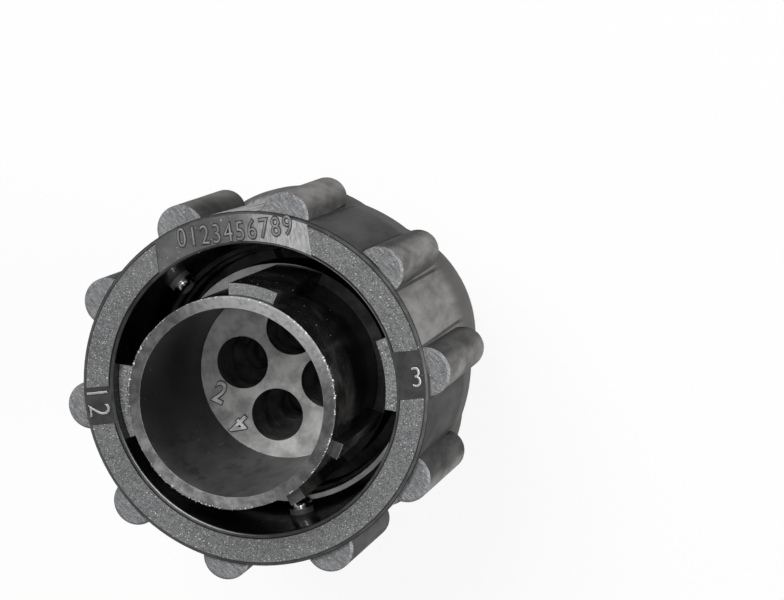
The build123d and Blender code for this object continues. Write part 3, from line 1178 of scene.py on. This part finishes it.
# %% Helpers that place and join numbers
RIDGE_ROUND = 0.06
RIDGE_HALF = 0.06
OUTLINE_GROWTH = 0.07
OUTLINE_HALF = 0.012
RIDGE_SHARP = radians(40)
RIDGE_MERGE = 0.0005


def raised_number(text, size, place, turn, plastic, stretch, spacing, growth):
    """A ridge and its painted shade outline; the place is a radius, an angle and a level."""
    radius, angle, level = place
    centre = Matrix.Translation((radius * cos(radians(angle)), radius * sin(radians(angle)), level))
    facing = Matrix.Rotation(radians(turn), 4, "Z") @ Matrix.Diagonal((stretch, 1, 1, 1))
    ridge = number_mesh(text, size, growth, RIDGE_HALF, RIDGE_ROUND, spacing)
    outline = number_mesh(text, size, growth + OUTLINE_GROWTH, OUTLINE_HALF, 0.0, spacing)
    for mesh, material in ((ridge, plastic), (outline, painted_shade_outline)):
        mesh.transform(Matrix.Scale(MM, 4) @ centre @ facing)
        mesh.materials.clear()
        mesh.materials.append(material)
    return [ridge, outline]


def join_numbers(name, numbers):
    """One piece from several numbers."""
    work = bmesh.new()
    joined = bpy.data.meshes.new(name)
    for mesh in sum(numbers, []):
        material = mesh.materials[0]
        if material.name not in joined.materials:
            joined.materials.append(material)
        done = len(work.faces)
        work.from_mesh(mesh)
        work.faces.ensure_lookup_table()
        for face in work.faces[done:]:
            face.material_index = joined.materials.find(material.name)
    bmesh.ops.remove_doubles(work, verts=work.verts, dist=RIDGE_MERGE * MM)
    work.to_mesh(joined)
    work.free()
    joined.shade_smooth()
    joined.set_sharp_from_angle(angle=RIDGE_SHARP)
    return add_object(name, joined)


print("a ridge stands", RIDGE_HALF + RIDGE_ROUND, "mm proud of its face")

# %% [markdown]
# ### Numbers beside the cavities
#
# The four numbers stand on the insert face, each near its own cavity and close
# to the bore. Two of them are turned, as on the real insert. They share a size,
# so a short table holds only what differs: the text, its angle and its turn.

# %% Numbers on the insert
CONTACT_NUMBERS = (("1", 62, 0), ("2", 210, -12), ("3", 31, 0), ("4", 240.7, 145))
NUMBER_RADIUS = 5.52
NUMBER_SIZE = 2.4
NUMBER_WIDTH = 0.85
NUMBER_GROWTH = 0.04
contact_ridges = []
for text, angle, turn in CONTACT_NUMBERS:
    place = (NUMBER_RADIUS, angle, INSERT_FACE + 2 * HAIR)
    contact_ridges.append(
        raised_number(text, NUMBER_SIZE, place, turn, insert_ridge, NUMBER_WIDTH, 1.0, NUMBER_GROWTH)
    )
contact_numbers = join_numbers("contact_numbers", contact_ridges)
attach(contact_numbers, "plug")
print("contact numbers:", len(contact_numbers.data.polygons), "faces")

# %% [markdown]
# ### Numbers on the ring's patches
#
# The narrow patches carry one and two figures, and the wide patch a row. Each
# line of the table holds a text with its size, its place and turn from the
# ring's first lobe, its width and its finish. A growth below zero thins the
# strokes. The joined piece rides the ring, so it turns with the patches.

# %% Numbers on the ring
PATCH_NUMBERS = (
    ("3", 2.1, 12.2, -1.25, 0, 0.85, side_ridge, -0.02),
    ("12", 2.4, 11.95, 178.5, -90, 0.9, side_ridge, -0.02),
    ("0123456789", 2.0, 11.5, 88.5, 0, 0.74, row_ridge, 0.0),
)
FIGURE_SPACING = 1.2
patch_ridges = []
for text, size, radius, angle, turn, stretch, plastic, growth in PATCH_NUMBERS:
    place = (radius, RING_TURN + angle, PATCH_LEVEL)
    patch_ridges.append(
        raised_number(
            text, size, place, RING_TURN + turn, plastic, stretch, FIGURE_SPACING, growth
        )
    )
ring_numbers = join_numbers("ring_numbers", patch_ridges)
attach(ring_numbers, "ring")
print("ring numbers:", len(ring_numbers.data.polygons), "faces")

# %% [markdown]
# ## Floor
#
# The plug stands on its cable end and the camera looks down almost along the
# axis, so the floor fills the picture. It looks white to the camera through
# Light Path and still keeps a soft shadow, because one tenth of it stays paper.

# %% Floor that looks white to the camera
FLOOR_REACH = 1.5
FLOOR_GLOW = 0.9


def white_background(tree, kind, amount, other, output):
    """White where camera, glossy or transmission rays look, else the other shader."""
    rays = tree.nodes.new("ShaderNodeLightPath")
    seen = calculate(tree, "MAXIMUM", rays.outputs["Is Camera Ray"], rays.outputs["Is Glossy Ray"])
    seen = calculate(tree, "MAXIMUM", seen, rays.outputs["Is Transmission Ray"])
    glow = tree.nodes.new(kind)
    glow.inputs["Color"].default_value = (1, 1, 1, 1)
    glow.inputs["Strength"].default_value = 1.0
    mix = tree.nodes.new("ShaderNodeMixShader")
    feed(tree, mix.inputs[0], calculate(tree, "MULTIPLY", seen, amount))
    tree.links.new(other, mix.inputs[1])
    tree.links.new(glow.outputs[0], mix.inputs[2])
    tree.links.new(mix.outputs[0], output)


floor_mesh = bpy.data.meshes.new("floor")
corners = [(x * FLOOR_REACH, y * FLOOR_REACH, 0) for x, y in ((-1, -1), (1, -1), (1, 1), (-1, 1))]
floor_mesh.from_pydata(corners, [], [(0, 1, 2, 3)])
floor = add_object("floor", floor_mesh)
paper = bpy.data.materials.new("white paper")
paper.use_nodes = True
tree = paper.node_tree
shader = tree.nodes["Principled BSDF"]
shader.inputs["Base Color"].default_value = (0.8, 0.8, 0.8, 1)
shader.inputs["Roughness"].default_value = 0.9
shader.inputs["Specular IOR Level"].default_value = 0.0
paper_output = tree.nodes["Material Output"].inputs["Surface"]
white_background(tree, "ShaderNodeEmission", FLOOR_GLOW, shader.outputs[0], paper_output)
floor_mesh.materials.append(paper)
print("floor:", 2 * FLOOR_REACH, "m wide")

# %% [markdown]
# ## Sky
#
# An even, dim sky lifts the shadows between the lobes. The camera and mirror
# reflections see it as white, like the walls of a light tent.

# %% Sky
SKY_STRENGTH = 0.14
world = bpy.data.worlds.new("studio")
bpy.context.scene.world = world
world.use_nodes = True
tree = world.node_tree
sky = tree.nodes["Background"]
sky.inputs["Color"].default_value = (1, 1, 1, 1)
sky.inputs["Strength"].default_value = SKY_STRENGTH
sky_output = tree.nodes["World Output"].inputs["Surface"]
white_background(tree, "ShaderNodeBackground", 1.0, sky.outputs[0], sky_output)
print("sky:", SKY_STRENGTH)

# %% [markdown]
# ## Camera
#
# The camera stands where the photograph's did. Its place and axes come from a
# fit to circles whose true shape is known: the ring, the barrel and the holes.
# The fit gives the focal length in pixels, and the sensor's width turns it into
# millimetres.

# %% Camera at the photograph's viewing angle
CAMERA_PLACE = Vector((0.0361, 0.0317, 0.1649))
CAMERA_RIGHT = Vector((0.96012, 0.17275, -0.21986))
CAMERA_UP = Vector((-0.20311, 0.97131, -0.12378))
CAMERA_BACK = Vector((0.19216, 0.16350, 0.96765))
FOCAL_PIXELS = 2000
PHOTO_WIDTH = 784
lens = bpy.data.cameras.new("camera")
lens.sensor_width = 36.0
lens.lens = lens.sensor_width * FOCAL_PIXELS / PHOTO_WIDTH
lens.clip_start = 0.005
camera = add_object("camera", lens)
facing = Matrix((CAMERA_RIGHT, CAMERA_UP, CAMERA_BACK)).transposed()
camera.matrix_world = Matrix.Translation(CAMERA_PLACE) @ facing.to_4x4()
bpy.context.scene.camera = camera
print("camera", [round(v, 4) for v in camera.location], f"lens {lens.lens:.1f} mm")

# %% [markdown]
# ## Light
#
# A large soft panel at the upper left reaches down into the barrel. A smaller
# one at the right draws the grip. A weak, small one straight in front shows the
# deep faces between barrel and ring. Each place is given as seen from the
# camera, so a panel is easy to move by looking at the picture.

# %% Soft panels
def panel(name, across, up, back, size, power):
    """A square light aimed at the plug from a place seen from the camera, in metres."""
    light = bpy.data.lights.new(name, "AREA")
    light.shape = "SQUARE"
    light.size = size
    light.energy = power
    lamp = add_object(name, light)
    aim = Vector((0, 0, RING_FRONT * MM))
    lamp.location = aim + CAMERA_RIGHT * across + CAMERA_UP * up + CAMERA_BACK * back
    lamp.rotation_mode = "QUATERNION"
    lamp.rotation_quaternion = (aim - lamp.location).to_track_quat("-Z", "Y")


panel("key panel", -0.16, 0.20, 0.41, 0.24, 2.1)
panel("right panel", 0.42, -0.02, 0.14, 0.14, 2.0)
panel("front panel", 0.0, 0.0, 0.45, 0.06, 0.35)

# %% [markdown]
# ## Colour view
#
# The Standard view shows each grey as it was written.

bpy.context.scene.view_settings.view_transform = "Standard"
